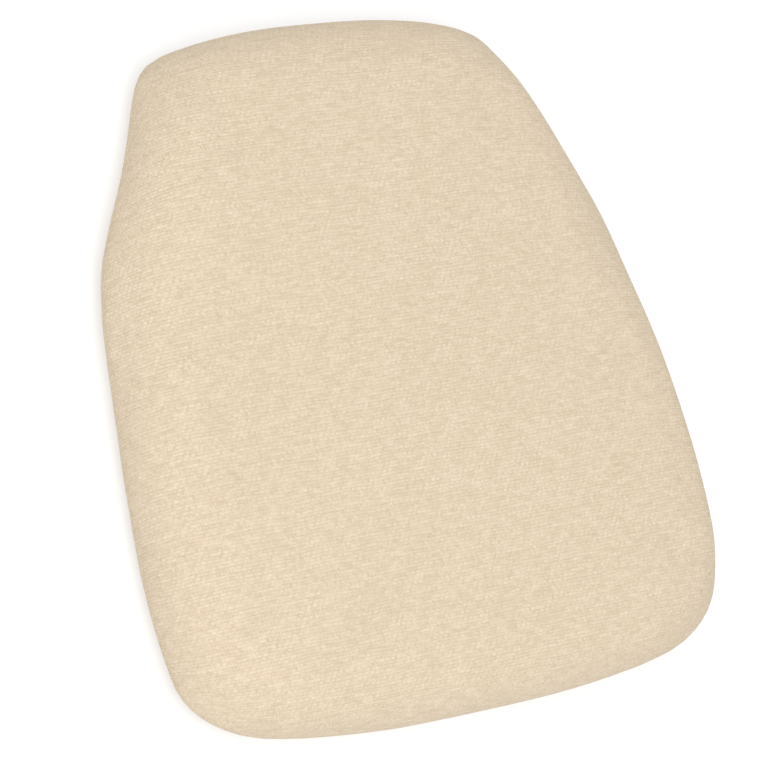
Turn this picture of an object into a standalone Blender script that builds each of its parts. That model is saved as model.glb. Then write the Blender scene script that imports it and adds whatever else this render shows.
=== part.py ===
"""Upholstered seat pad with a hard base, for a dining or banquet chair with open back posts.

A plywood board carries a foam core with a fibre wrap over it. A woven cover is drawn over the
stack and stapled to the underside, a dust cover closes the underside, and four hook strips hold
the pad on the chair. The pad lies with its narrow back edge towards +Y, and z = 0 is the lower
face of the hook strips. All sizes are in metres.
"""

import math

import bmesh
import bpy
from mathutils import Matrix, Vector
from mathutils.geometry import interpolate_bezier

# Overall sizes
PAD_WIDTH = 0.390
PAD_DEPTH = 0.408
PAD_HEIGHT = 0.050  # from the hook strips to the middle of the crown
CROWN_RISE = 0.006  # middle of the top above the end of the rolled edge
WIDEST_HEIGHT = 0.017  # height of the fullest line of the sides
ROLL_REACH = 0.030  # how far the rolled top edge reaches in from the side

# Plan outline, right half: distances in from the widest side, the front edge and the back edge
FRONT_BOW = 0.009
FRONT_CORNER_INSET = 0.059
FRONT_CORNER_LENGTH = 0.0545
FRONT_CORNER_EASE = 0.0035
WIDEST_FROM_FRONT = 0.090
SHOULDER_INSET = 0.0165
SHOULDER_FROM_BACK = 0.152
NECK_INSET = 0.035
NECK_FROM_BACK = 0.100
BACK_CORNER_INSET = 0.063
BACK_CORNER_LENGTH = 0.042
BACK_EDGE_INSET = 0.0865
BACK_BOW = 0.013

# Headings of the outline at those points, in degrees anticlockwise from +X
FRONT_EDGE_TURN = 10.5
FRONT_CORNER_TURN = 82.0
SHOULDER_TURN = 100.5
NECK_TURN = 118.5
BACK_CORNER_TURN = 113.5
BACK_EDGE_TURN = 160.5

# Layers
GAP = 0.0003  # between neighbouring layers
COVER_THICKNESS = 0.0012
WRAP_THICKNESS = 0.005
WRAP_LAP = 0.0027  # how far the wrap reaches down over the board's edge
BOARD_THICKNESS = 0.009
BOARD_EDGE_ROOM = 0.0012  # between the wrap and the board's edge
DUST_THICKNESS = 0.0006
DUST_INSET = 0.015
HEM_WIDTH = 0.026  # cover turned in under the board, from the board's edge

# Vent holes through the board
VENT_RADIUS = 0.010
VENT_X = 0.080
VENT_Y = 0.085
VENT_SIDES = 24

# Hook strips
STRIP_WIDTH = 0.025
STRIP_LENGTH = 0.070
STRIP_THICKNESS = 0.002
STRIP_BEVEL = 0.0004
FRONT_STRIP_FROM_SIDE = 0.077  # from the widest side to the middle of the strip
FRONT_STRIP_FROM_EDGE = 0.082  # from the front edge to the middle of the strip
BACK_STRIP_FROM_SIDE = 0.109
BACK_STRIP_FROM_EDGE = 0.080

# Staples
STAPLE_CROWN = 0.010
STAPLE_LEG = 0.008
STAPLE_WIRE = 0.0006
LEG_CLEARANCE = 0.0003
COVER_STAPLES = 30
COVER_STAPLE_INSET = 0.027
DUST_STAPLES = 20
DUST_STAPLE_INSET = 0.020

# Heights of the stack, from the hook strips up
DUST_LOW = STRIP_THICKNESS + GAP
DUST_STAPLE_LOW = DUST_LOW - GAP - STAPLE_WIRE
COVER_STAPLE_LOW = DUST_LOW + DUST_THICKNESS + GAP
HEM_LOW = COVER_STAPLE_LOW + STAPLE_WIRE + GAP
BOARD_LOW = HEM_LOW + COVER_THICKNESS + GAP
BOARD_HIGH = BOARD_LOW + BOARD_THICKNESS
FOAM_LOW = BOARD_HIGH + GAP
WRAP_LOW = BOARD_HIGH - WRAP_LAP
ROLL_HIGH = PAD_HEIGHT - CROWN_RISE

# Depths of the layers' faces under the outer face
WRAP_DEPTH = COVER_THICKNESS + GAP
WRAP_INNER_DEPTH = WRAP_DEPTH + WRAP_THICKNESS
FOAM_DEPTH = WRAP_INNER_DEPTH + GAP
BOARD_INSET = FOAM_DEPTH + BOARD_EDGE_ROOM

# Fineness of the surfaces
TURN_STEP = 9.0  # degrees of the outline in one step
LENGTH_STEP = 0.045
FOLD_ANGLES = (60.0, 30.0)  # degrees below the fullest line
ROLL_STEPS = 5
CROWN_STEPS = 3
CUTTER_OVERRUN = 0.0004

MATERIALS = {
    "cover_fabric": ((0.74, 0.63, 0.47), 0.85, 0.0),
    "white_fibre": ((0.86, 0.86, 0.84), 0.95, 0.0),
    "foam": ((0.88, 0.80, 0.52), 0.95, 0.0),
    "plywood": ((0.62, 0.45, 0.27), 0.7, 0.0),
    "black_nonwoven": ((0.03, 0.03, 0.032), 0.95, 0.0),
    "hook_tape": ((0.10, 0.09, 0.085), 0.6, 0.0),
    "staple_steel": ((0.62, 0.62, 0.62), 0.35, 1.0),
}


def clear_scene():
    """Remove every object that the file starts with."""
    for old in list(bpy.data.objects):
        bpy.data.objects.remove(old, do_unlink=True)


def new_collection(name):
    """A new collection in the scene."""
    collection = bpy.data.collections.new(name)
    bpy.context.scene.collection.children.link(collection)
    return collection


def material(name):
    """The named Principled material, made at its first use."""
    found = bpy.data.materials.get(name)
    if found:
        return found
    color, roughness, metallic = MATERIALS[name]
    made = bpy.data.materials.new(name)
    made.use_nodes = True
    shader = made.node_tree.nodes["Principled BSDF"]
    shader.inputs["Base Color"].default_value = (*color, 1.0)
    shader.inputs["Roughness"].default_value = roughness
    shader.inputs["Metallic"].default_value = metallic
    made.diffuse_color = (*color, 1.0)
    return made


def place(name, data, collection, material_name):
    """A new object for a mesh or a curve, with its material."""
    piece = bpy.data.objects.new(name, data)
    collection.objects.link(piece)
    if not data.materials:
        data.materials.append(material(material_name))
    return piece


def outline_knots():
    """Points and headings of the right half of the outline, from front middle to back middle."""
    side = PAD_WIDTH / 2
    front = -PAD_DEPTH / 2
    back = PAD_DEPTH / 2
    return [
        (0.0, front, 0.0),
        (side - FRONT_CORNER_INSET, front + FRONT_BOW, FRONT_EDGE_TURN),
        (side - FRONT_CORNER_EASE, front + FRONT_CORNER_LENGTH, FRONT_CORNER_TURN),
        (side, front + WIDEST_FROM_FRONT, 90.0),
        (side - SHOULDER_INSET, back - SHOULDER_FROM_BACK, SHOULDER_TURN),
        (side - NECK_INSET, back - NECK_FROM_BACK, NECK_TURN),
        (side - BACK_CORNER_INSET, back - BACK_CORNER_LENGTH, BACK_CORNER_TURN),
        (side - BACK_EDGE_INSET, back - BACK_BOW, BACK_EDGE_TURN),
        (0.0, back, 180.0),
    ]


def stretch(start, end):
    """Points of one near-circular stretch between two knots, without its last point."""
    first = Vector((start[0], start[1], 0.0))
    last = Vector((end[0], end[1], 0.0))
    chord = (last - first).length
    turn = math.radians(end[2] - start[2])
    reach = chord * 2 / 3 / (1 + math.cos(turn / 2))
    leave = Vector((math.cos(math.radians(start[2])), math.sin(math.radians(start[2])), 0.0))
    arrive = Vector((math.cos(math.radians(end[2])), math.sin(math.radians(end[2])), 0.0))
    by_turn = math.ceil(abs(end[2] - start[2]) / TURN_STEP)
    steps = max(2, by_turn, math.ceil(chord / LENGTH_STEP))
    points = interpolate_bezier(first, first + reach * leave, last - reach * arrive, last, steps + 1)
    return points[:-1]


def outline():
    """Points of the whole outline, anticlockwise from the front middle, and their outward normals."""
    knots = outline_knots()
    right = [point for pair in zip(knots, knots[1:]) for point in stretch(*pair)]
    back = Vector((0.0, PAD_DEPTH / 2, 0.0))
    left = [Vector((-point.x, point.y, 0.0)) for point in reversed(right[1:])]
    points = [*right, back, *left]
    normals = []
    for i, point in enumerate(points):
        before = point - points[i - 1]
        after = points[(i + 1) % len(points)] - point
        along = before.normalized() * after.length + after.normalized() * before.length
        along.normalize()
        normals.append(Vector((along.y, -along.x, 0.0)))
    return points, normals


def ring(inset, height):
    """The outline drawn in by an inset, at a height."""
    points, normals = outline()
    return [p - inset * n + Vector((0.0, 0.0, height)) for p, n in zip(points, normals)]


def fold_rings(depth, low):
    """Rings of the underside fold of a face at a depth, from its low edge up to the fullest line."""
    reach = BOARD_INSET - depth
    drop = WIDEST_HEIGHT - HEM_LOW - depth
    end = math.degrees(math.asin(min(1.0, (WIDEST_HEIGHT - low) / drop)))
    angles = [math.radians(a) for a in (end, *FOLD_ANGLES) if a <= end]
    return [
        ring(BOARD_INSET - reach * math.cos(a), WIDEST_HEIGHT - drop * math.sin(a)) for a in angles
    ]


def roll_rings(depth):
    """Rings of the rolled top edge of a face at a depth, from the fullest line to the flat."""
    reach = ROLL_REACH - depth
    rise = ROLL_HIGH - WIDEST_HEIGHT - depth
    angles = [math.pi / 2 * i / ROLL_STEPS for i in range(ROLL_STEPS + 1)]
    return [
        ring(ROLL_REACH - reach * math.cos(a), WIDEST_HEIGHT + rise * math.sin(a)) for a in angles
    ]


def crown_rings(depth):
    """Rings of the crowned top of a face at a depth, inside the rolled edge."""
    edge = ring(ROLL_REACH, 0.0)
    rings = []
    for i in range(1, CROWN_STEPS + 1):
        share = 1 - i / (CROWN_STEPS + 1)
        height = ROLL_HIGH - depth + CROWN_RISE * (1 - share * share) ** 2
        rings.append([Vector((p.x * share, p.y * share, height)) for p in edge])
    return rings


def folded_rings(depth, low):
    """All rings of a face at a depth whose low edge follows the underside fold."""
    return fold_rings(depth, low) + roll_rings(depth) + crown_rings(depth)


def upright_rings(depth, low):
    """All rings of a face at a depth whose sides stand upright below the fullest line."""
    return [ring(depth, low)] + roll_rings(depth) + crown_rings(depth)


def bridge(mesh, lower, upper):
    """Triangle pairs between two rings of vertices, split the same way in every layer."""
    for i, _ in enumerate(lower):
        j = (i + 1) % len(lower)
        mesh.faces.new((lower[i], lower[j], upper[j]))
        mesh.faces.new((lower[i], upper[j], upper[i]))


def dome(mesh, rings, height):
    """The skin through the rings, closed by a fan at the top, and its lowest ring of vertices."""
    loops = [[mesh.verts.new(p) for p in points] for points in rings]
    for lower, upper in zip(loops, loops[1:]):
        bridge(mesh, lower, upper)
    top = mesh.verts.new((0.0, 0.0, height))
    for i, vertex in enumerate(loops[-1]):
        mesh.faces.new((vertex, loops[-1][(i + 1) % len(loops[-1])], top))
    return loops[0]


def solid_from(name, mesh, collection, material_name):
    """An object from a built mesh, with its faces turned outwards."""
    bmesh.ops.recalc_face_normals(mesh, faces=mesh.faces)
    data = bpy.data.meshes.new(name)
    mesh.to_mesh(data)
    mesh.free()
    data.shade_smooth()
    data.set_sharp_from_angle(angle=math.radians(40))
    return place(name, data, collection, material_name)


def shell(name, outer_rings, inner_rings, outer_top, inner_top, collection, material_name):
    """A closed skin between an outer and an inner dome, open underneath."""
    mesh = bmesh.new()
    outer = dome(mesh, outer_rings, outer_top)
    inner = dome(mesh, inner_rings, inner_top)
    bridge(mesh, inner, outer)
    return solid_from(name, mesh, collection, material_name)


def fabric_cover(collection):
    """Woven cover over the whole pad, with its hem turned in under the board."""
    hem = BOARD_INSET + HEM_WIDTH
    inner_hem = HEM_LOW + COVER_THICKNESS
    outer = [ring(hem, HEM_LOW)] + folded_rings(0.0, HEM_LOW)
    inner = [ring(hem, inner_hem)] + folded_rings(COVER_THICKNESS, inner_hem)
    top = PAD_HEIGHT - COVER_THICKNESS
    return shell("fabric_cover", outer, inner, PAD_HEIGHT, top, collection, "cover_fabric")


def fibre_wrap(collection):
    """Polyester fibre between the cover and the foam, lapped over the board's upper edge."""
    outer = folded_rings(WRAP_DEPTH, WRAP_LOW)
    inner = upright_rings(WRAP_INNER_DEPTH, WRAP_LOW)
    outer_top = PAD_HEIGHT - WRAP_DEPTH
    inner_top = PAD_HEIGHT - WRAP_INNER_DEPTH
    return shell("fibre_wrap", outer, inner, outer_top, inner_top, collection, "white_fibre")


def foam_core(collection):
    """Foam block glued on the board, with its top edge rounded."""
    mesh = bmesh.new()
    lowest = dome(mesh, upright_rings(FOAM_DEPTH, FOAM_LOW), PAD_HEIGHT - FOAM_DEPTH)
    mesh.faces.new(lowest)
    return solid_from("foam_core", mesh, collection, "foam")


def plate(name, inset, low, thickness, collection, material_name):
    """A flat plate with the pad's outline drawn in by an inset, as a mesh that can be cut."""
    curve = bpy.data.curves.new(name, "CURVE")
    curve.dimensions = "2D"
    curve.fill_mode = "BOTH"
    curve.extrude = thickness / 2
    points = ring(inset, 0.0)
    spline = curve.splines.new("POLY")
    spline.points.add(len(points) - 1)
    for spline_point, p in zip(spline.points, points):
        spline_point.co = (p.x, p.y, 0.0, 1.0)
    spline.use_cyclic_u = True
    guide = bpy.data.objects.new(name + "_outline", curve)
    collection.objects.link(guide)
    bpy.context.view_layer.update()
    evaluated = guide.evaluated_get(bpy.context.evaluated_depsgraph_get())
    data = bpy.data.meshes.new_from_object(evaluated)
    bpy.data.objects.remove(guide, do_unlink=True)
    mesh = bmesh.new()
    mesh.from_mesh(data)
    bmesh.ops.remove_doubles(mesh, verts=mesh.verts, dist=0.00005)
    bmesh.ops.translate(mesh, verts=mesh.verts, vec=(0.0, 0.0, low + thickness / 2))
    bpy.data.meshes.remove(data)
    return solid_from(name, mesh, collection, material_name)


def along_ring(inset, count):
    """Evenly spaced places along the outline drawn in by an inset: (x, y, heading)."""
    points = ring(inset, 0.0)
    sides = [(p, points[(i + 1) % len(points)]) for i, p in enumerate(points)]
    pitch = sum((b - a).length for a, b in sides) / count
    places = []
    travelled = 0.0
    for a, b in sides:
        length = (b - a).length
        while len(places) < count and (len(places) + 0.5) * pitch <= travelled + length:
            at = a.lerp(b, ((len(places) + 0.5) * pitch - travelled) / length)
            places.append((at.x, at.y, math.atan2(b.y - a.y, b.x - a.x)))
        travelled += length
    return places


def staple_curve():
    """Flat outline of a staple, crown at y = 0 and legs along +Y, extruded to the wire's width."""
    half = STAPLE_CROWN / 2
    inner = half - STAPLE_WIRE
    outline_points = [
        (-half, 0.0),
        (half, 0.0),
        (half, STAPLE_LEG),
        (inner, STAPLE_LEG),
        (inner, STAPLE_WIRE),
        (-inner, STAPLE_WIRE),
        (-inner, STAPLE_LEG),
        (-half, STAPLE_LEG),
    ]
    curve = bpy.data.curves.new("staple", "CURVE")
    curve.dimensions = "2D"
    curve.fill_mode = "BOTH"
    curve.extrude = STAPLE_WIRE / 2
    spline = curve.splines.new("POLY")
    spline.points.add(len(outline_points) - 1)
    for spline_point, (x, y) in zip(spline.points, outline_points):
        spline_point.co = (x, y, 0.0, 1.0)
    spline.use_cyclic_u = True
    return curve


def staples(prefix, places, low, curve, collection):
    """One staple at each place, driven upwards with its crown along the outline."""
    for number, (x, y, heading) in enumerate(places, start=1):
        staple = place(f"{prefix}_{number:02d}", curve, collection, "staple_steel")
        staple.location = (x, y, low)
        staple.rotation_euler = (math.pi / 2, 0.0, heading)


def leg_cutter(name, places, low, high, cutters):
    """One cutter with a square hole for each staple leg."""
    side = STAPLE_WIRE + 2 * LEG_CLEARANCE
    reach = (STAPLE_CROWN - STAPLE_WIRE) / 2
    size = Matrix.Diagonal((side, side, high - low, 1.0))
    mesh = bmesh.new()
    for x, y, heading in places:
        turned = Matrix.Translation((x, y, (low + high) / 2)) @ Matrix.Rotation(heading, 4, "Z")
        for offset in (-reach, reach):
            matrix = turned @ Matrix.Translation((offset, 0.0, 0.0)) @ size
            bmesh.ops.create_cube(mesh, size=1.0, matrix=matrix)
    return cutter_from(name, mesh, cutters)


def vent_cutter(cutters):
    """One cutter with the board's vent holes: one in the middle and one towards each corner."""
    spots = [(0.0, 0.0)] + [(sx * VENT_X, sy * VENT_Y) for sx in (-1, 1) for sy in (-1, 1)]
    mesh = bmesh.new()
    for x, y in spots:
        bmesh.ops.create_cone(
            mesh,
            cap_ends=True,
            segments=VENT_SIDES,
            radius1=VENT_RADIUS,
            radius2=VENT_RADIUS,
            depth=BOARD_THICKNESS + 2 * CUTTER_OVERRUN,
            matrix=Matrix.Translation((x, y, (BOARD_LOW + BOARD_HIGH) / 2)),
        )
    return cutter_from("vent_cutter", mesh, cutters)


def cutter_from(name, mesh, cutters):
    """A cutter object from a built mesh, kept out of renders."""
    data = bpy.data.meshes.new(name)
    mesh.to_mesh(data)
    mesh.free()
    cutter = bpy.data.objects.new(name, data)
    cutters.objects.link(cutter)
    cutter.hide_render = True
    cutter.display_type = "WIRE"
    return cutter


def cut(piece, *tools):
    """Take the cutters away from a piece."""
    for tool in tools:
        modifier = piece.modifiers.new(tool.name, "BOOLEAN")
        modifier.operation = "DIFFERENCE"
        modifier.solver = "EXACT"
        modifier.object = tool


def hook_strips(collection):
    """Four hook strips on the underside, two near the front and two near the back."""
    front = -PAD_DEPTH / 2 + FRONT_STRIP_FROM_EDGE
    back = PAD_DEPTH / 2 - BACK_STRIP_FROM_EDGE
    front_x = PAD_WIDTH / 2 - FRONT_STRIP_FROM_SIDE
    back_x = PAD_WIDTH / 2 - BACK_STRIP_FROM_SIDE
    spots = {
        "hook_strip_front_left": (-front_x, front),
        "hook_strip_front_right": (front_x, front),
        "hook_strip_back_left": (-back_x, back),
        "hook_strip_back_right": (back_x, back),
    }
    for name, (x, y) in spots.items():
        mesh = bmesh.new()
        size = Matrix.Diagonal((STRIP_WIDTH, STRIP_LENGTH, STRIP_THICKNESS, 1.0))
        bmesh.ops.create_cube(mesh, size=1.0, matrix=size)
        strip = solid_from(name, mesh, collection, "hook_tape")
        strip.location = (x, y, STRIP_THICKNESS / 2)
        bevel = strip.modifiers.new("edges", "BEVEL")
        bevel.width = STRIP_BEVEL
        bevel.segments = 1


def build():
    """Make every piece of the pad."""
    clear_scene()
    pad = new_collection("chair_seat_pad")
    cutters = new_collection("cutters")
    cover = fabric_cover(pad)
    fibre_wrap(pad)
    foam_core(pad)
    board = plate("base_board", BOARD_INSET, BOARD_LOW, BOARD_THICKNESS, pad, "plywood")
    dust = plate("dust_cover", DUST_INSET, DUST_LOW, DUST_THICKNESS, pad, "black_nonwoven")
    hook_strips(pad)
    curve = staple_curve()
    cover_places = along_ring(COVER_STAPLE_INSET, COVER_STAPLES)
    dust_places = along_ring(DUST_STAPLE_INSET, DUST_STAPLES)
    staples("cover_staple", cover_places, COVER_STAPLE_LOW, curve, pad)
    staples("dust_staple", dust_places, DUST_STAPLE_LOW, curve, pad)
    cover_low = HEM_LOW - CUTTER_OVERRUN
    cover_high = COVER_STAPLE_LOW + STAPLE_LEG + LEG_CLEARANCE
    cover_legs = leg_cutter("cover_leg_cutter", cover_places, cover_low, cover_high, cutters)
    dust_low = DUST_LOW - CUTTER_OVERRUN
    dust_high = DUST_STAPLE_LOW + STAPLE_LEG + LEG_CLEARANCE
    dust_legs = leg_cutter("dust_leg_cutter", dust_places, dust_low, dust_high, cutters)
    cut(cover, cover_legs, dust_legs)
    cut(board, cover_legs, dust_legs, vent_cutter(cutters))
    cut(dust, dust_legs)


build()
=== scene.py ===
"""Looks of an upholstered chair seat pad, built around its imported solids.

The woven cover is a padded form settled by a short cloth simulation, then given its real
thickness and a hem that turns in under the board. The underside has a spun-bonded dust cover,
hook strips with their single hooks, and bent wire staples. The layers inside are modelled too.
"""

import logging
import math
from dataclasses import dataclass, field
from enum import Enum
from typing import Iterable, Mapping, Sequence, Union

import bmesh
import bpy
import numpy as np
from mathutils import Matrix, Vector
from mathutils.kdtree import KDTree


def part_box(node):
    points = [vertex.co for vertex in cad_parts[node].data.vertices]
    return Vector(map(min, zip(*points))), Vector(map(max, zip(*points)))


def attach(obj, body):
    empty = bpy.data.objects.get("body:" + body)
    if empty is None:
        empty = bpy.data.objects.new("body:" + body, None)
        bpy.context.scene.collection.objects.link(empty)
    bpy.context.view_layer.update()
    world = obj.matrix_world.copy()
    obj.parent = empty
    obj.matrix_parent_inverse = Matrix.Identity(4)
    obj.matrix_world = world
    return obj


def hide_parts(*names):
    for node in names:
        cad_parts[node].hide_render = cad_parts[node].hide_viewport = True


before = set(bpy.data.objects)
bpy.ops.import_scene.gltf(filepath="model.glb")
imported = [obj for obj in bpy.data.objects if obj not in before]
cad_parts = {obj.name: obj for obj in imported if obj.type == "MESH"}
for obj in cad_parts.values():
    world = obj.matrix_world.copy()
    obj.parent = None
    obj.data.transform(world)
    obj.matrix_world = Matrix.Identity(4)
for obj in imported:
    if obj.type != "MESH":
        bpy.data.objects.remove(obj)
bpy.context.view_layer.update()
BODY = "root"
MM = 0.001
Number = Union[float, "Signal"]
Colour = tuple[float, float, float]
Spot = tuple[float, float, float]
log = logging.getLogger("seat_pad")


class Layer(Enum):
    """The layers of the pad, by the names of their solids."""

    COVER = "fabric_cover"
    WRAP = "fibre_wrap"
    FOAM = "foam_core"
    BOARD = "base_board"
    DUST = "dust_cover"


class Row(Enum):
    """The two rows of staples, by the first words of their names."""

    COVER = "cover_staple"
    DUST = "dust_staple"


# ---------------------------------------------------------------- shader graphs


class Signal:
    """A shader socket that takes part in arithmetic."""

    def __init__(self, graph: "Graph", socket: bpy.types.NodeSocket) -> None:
        """Wrap a socket of a graph."""
        self.graph = graph
        self.socket = socket

    def maths(self, operation: str, *others: Number, swap: bool = False) -> "Signal":
        """Add a Math node.

        Args:
            operation: the node's operation.
            others: further values or signals.
            swap: put this signal last.

        Returns:
            The node's result.
        """
        values = [*others, self] if swap else [self, *others]
        node = self.graph.node("ShaderNodeMath", {"operation": operation}, dict(enumerate(values)))
        return Signal(self.graph, node.outputs[0])

    def __add__(self, other: Number) -> "Signal":
        """This signal plus another."""
        return self.maths("ADD", other)

    def __radd__(self, other: Number) -> "Signal":
        """A value plus this signal."""
        return self.maths("ADD", other)

    def __sub__(self, other: Number) -> "Signal":
        """This signal less another."""
        return self.maths("SUBTRACT", other)

    def __rsub__(self, other: Number) -> "Signal":
        """A value less this signal."""
        return self.maths("SUBTRACT", other, swap=True)

    def __mul__(self, other: Number) -> "Signal":
        """This signal times another."""
        return self.maths("MULTIPLY", other)

    def __rmul__(self, other: Number) -> "Signal":
        """A value times this signal."""
        return self.maths("MULTIPLY", other)

    def __truediv__(self, other: Number) -> "Signal":
        """This signal divided by another."""
        return self.maths("DIVIDE", other)

    def __pow__(self, other: Number) -> "Signal":
        """This signal to a power."""
        return self.maths("POWER", other)

    def floor(self) -> "Signal":
        """The whole part below this signal."""
        return self.maths("FLOOR")

    def fract(self) -> "Signal":
        """What is left above the whole part."""
        return self.maths("FRACT")

    def arch(self) -> "Signal":
        """A half wave that rises from 0 to 1 and falls back over each whole step."""
        return (self.fract() * math.pi).maths("SINE")

    def above(self, level: Number) -> "Signal":
        """1 where this signal is more than a level, else 0."""
        return self.maths("GREATER_THAN", level)

    def largest(self, other: Number) -> "Signal":
        """The larger of this signal and another."""
        return self.maths("MAXIMUM", other)

    def smooth(self, low: float, high: float) -> "Signal":
        """A soft step from 0 at one level to 1 at another.

        Args:
            low: Level at which the step leaves 0.
            high: Level at which it reaches 1.

        Returns:
            The stepped signal.
        """
        node = self.graph.node(
            "ShaderNodeMapRange",
            {"interpolation_type": "SMOOTHSTEP"},
            {"Value": self, "From Min": low, "From Max": high, "To Min": 0.0, "To Max": 1.0},
        )
        return Signal(self.graph, node.outputs[0])


class Graph:
    """The node graph of one material."""

    def __init__(self, name: str) -> None:
        """Start a material that holds only a Principled shader and its output.

        Args:
            name: Name of the material.
        """
        self.material = bpy.data.materials.new(name)
        self.material.use_nodes = True
        self.tree = self.material.node_tree
        self.shader = self.tree.nodes["Principled BSDF"]

    def node(self, kind: str, settings: Mapping[str, object], values: Mapping) -> bpy.types.Node:
        """Add a node.

        Args:
            kind: the node's type.
            settings: its properties, which are set first.
            values: a value, a socket or a signal for each named or numbered input.

        Returns:
            The node.
        """
        made = self.tree.nodes.new(kind)
        for key, value in settings.items():
            setattr(made, key, value)
        for key, value in values.items():
            self.feed(made.inputs[key], value)
        return made

    def feed(self, entry: bpy.types.NodeSocket, value: object) -> None:
        """Link a signal or a socket into an input, or set a plain value on it.

        Args:
            entry: The input socket.
            value: A signal, a socket, a colour or a number.
        """
        if isinstance(value, Signal):
            self.tree.links.new(value.socket, entry)
        elif isinstance(value, bpy.types.NodeSocket):
            self.tree.links.new(value, entry)
        elif isinstance(value, tuple) and len(value) == 3 and entry.type == "RGBA":
            entry.default_value = (*value, 1.0)
        else:
            entry.default_value = value

    def axes(self, vector: bpy.types.NodeSocket) -> list[Signal]:
        """The three parts of a vector."""
        node = self.node("ShaderNodeSeparateXYZ", {}, {"Vector": vector})
        return [Signal(self, out) for out in node.outputs]

    def vector(self, x: Number, y: Number, z: Number = 0.0) -> bpy.types.NodeSocket:
        """A vector from its three parts."""
        return self.node("ShaderNodeCombineXYZ", {}, {"X": x, "Y": y, "Z": z}).outputs[0]

    def place(self) -> bpy.types.NodeSocket:
        """The point in the object's own frame."""
        return self.node("ShaderNodeTexCoord", {}, {}).outputs["Object"]

    def laid(self, name: str) -> bpy.types.NodeSocket:
        """The point in a piece's own laid-out map."""
        return self.node("ShaderNodeUVMap", {"uv_map": name}, {}).outputs["UV"]

    def noise(self, where: bpy.types.NodeSocket, scale: float, detail: float = 2.0) -> Signal:
        """Cloudy noise between 0 and 1."""
        values = {"Vector": where, "Scale": scale, "Detail": detail}
        return Signal(self, self.node("ShaderNodeTexNoise", {}, values).outputs[0])

    def cells(self, where: bpy.types.NodeSocket, scale: float, feature: str = "F1") -> Signal:
        """The distance to the nearest of many scattered points."""
        node = self.node("ShaderNodeTexVoronoi", {"feature": feature}, {"Vector": where, "Scale": scale})
        return Signal(self, node.outputs["Distance"])

    def blend(self, share: Number, first: object, second: object) -> bpy.types.NodeSocket:
        """A colour between two others."""
        node = self.node("ShaderNodeMix", {"data_type": "RGBA"}, {0: share, 6: first, 7: second})
        return node.outputs[2]

    def bump(self, height: Signal, distance: float, strength: float = 1.0) -> bpy.types.NodeSocket:
        """A normal from a height in metres' share of a distance."""
        values = {"Height": height, "Distance": distance, "Strength": strength}
        return self.node("ShaderNodeBump", {}, values).outputs[0]

    def finish(self, **sockets: object) -> bpy.types.Material:
        """Set the shader's inputs, by their names with _ for a space, and return the material.

        Args:
            sockets: Values by socket name, with _ for each space.

        Returns:
            The finished material.
        """
        for key, value in sockets.items():
            self.feed(self.shader.inputs[key.replace("_", " ")], value)
        return self.material


# ---------------------------------------------------------------- finishes


@dataclass(frozen=True)
class WovenCloth:
    """Beige upholstery twill: uneven weft yarns float over two fine warp yarns and under one. Its colour
    is the yarns' own heathered tone plus painted shade in the dips of the weave.
    """

    light: Colour = (0.822, 0.694, 0.526)
    dark: Colour = (0.634, 0.513, 0.362)
    warp_pitch: float = 1.25 * MM
    weft_pitch: float = 1.9 * MM
    repeat: float = 3.0
    heather: float = 110.0
    ply: float = 0.5 * MM
    relief: float = 0.56 * MM
    map_name: str = "cloth"

    def material(self) -> bpy.types.Material:
        """Build the material on the cloth's own map.

        Returns:
            The material.
        """
        g = Graph("woven_cloth")
        laid = g.laid(self.map_name)
        u, v, _ = g.axes(laid)
        wander = (g.noise(laid, 45.0, 0.0) - 0.5) * self.weft_pitch
        across = (u + wander) / self.warp_pitch
        along = (v + wander) / self.weft_pitch
        phase = ((across - along.floor()) / self.repeat).fract()
        warp_over = phase.above(1 - 1 / self.repeat)
        warp = (phase * self.repeat).arch() ** 0.8 * along.arch() ** 0.4 * 0.85
        weft = along.arch() ** 0.8 * (phase * self.repeat / (self.repeat - 1)).arch() ** 0.4
        height = warp_over * warp + (1.0 - warp_over) * weft
        twist = ((u + (1.0 - warp_over) * v * 0.6) / self.ply).arch() - 0.5
        warp_tone = g.noise(g.vector(v * self.heather, across.floor() * 7.3, 5.0), 1.0, 1.0)
        weft_tone = g.noise(g.vector(u * self.heather, along.floor() * 7.3, 0.0), 1.0, 1.0)
        tone = warp_over * warp_tone + (1.0 - warp_over) * weft_tone
        slub = g.noise(g.vector(u * 0.16, v, 0.0), 620.0, 2.0)
        fibre = g.noise(g.place(), 1500.0, 3.0)
        mottle = g.noise(g.place(), 430.0, 2.0)
        patch = g.noise(g.place(), 150.0, 2.0)
        cloud = g.noise(g.place(), 28.0, 2.0)
        # Painted shade: the height and twist terms make each yarn lighter at its crown and darker in the
        # dips between yarns and plies. The tone, slub, drift and fibre terms vary the tone at random.
        yarn = 0.23 + height * 0.42 + (tone - 0.5) * 1.35 + (slub - 0.5) * 0.80 + twist * 0.12
        drift = (mottle - 0.5) * 0.85 + (patch - 0.5) * 0.12 + (cloud - 0.5) * 0.16
        share = (yarn + drift + (fibre - 0.5) * 1.20).smooth(-0.25, 1.25)
        relief = height * 0.52 + twist * 0.14 + (fibre - 0.5) * 0.35 + (slub - 0.5) * 0.45
        return g.finish(
            Base_Color=g.blend(share, self.dark, self.light),
            Roughness=0.80 + (fibre - 0.5) * 0.16 + (1.0 - height) * 0.08,
            Normal=g.bump(relief, self.relief, 0.8),
            Sheen_Weight=0.08,
            Sheen_Roughness=0.6,
            Sheen_Tint=(1.0, 0.94, 0.86),
            Specular_IOR_Level=0.22,
        )


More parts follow.
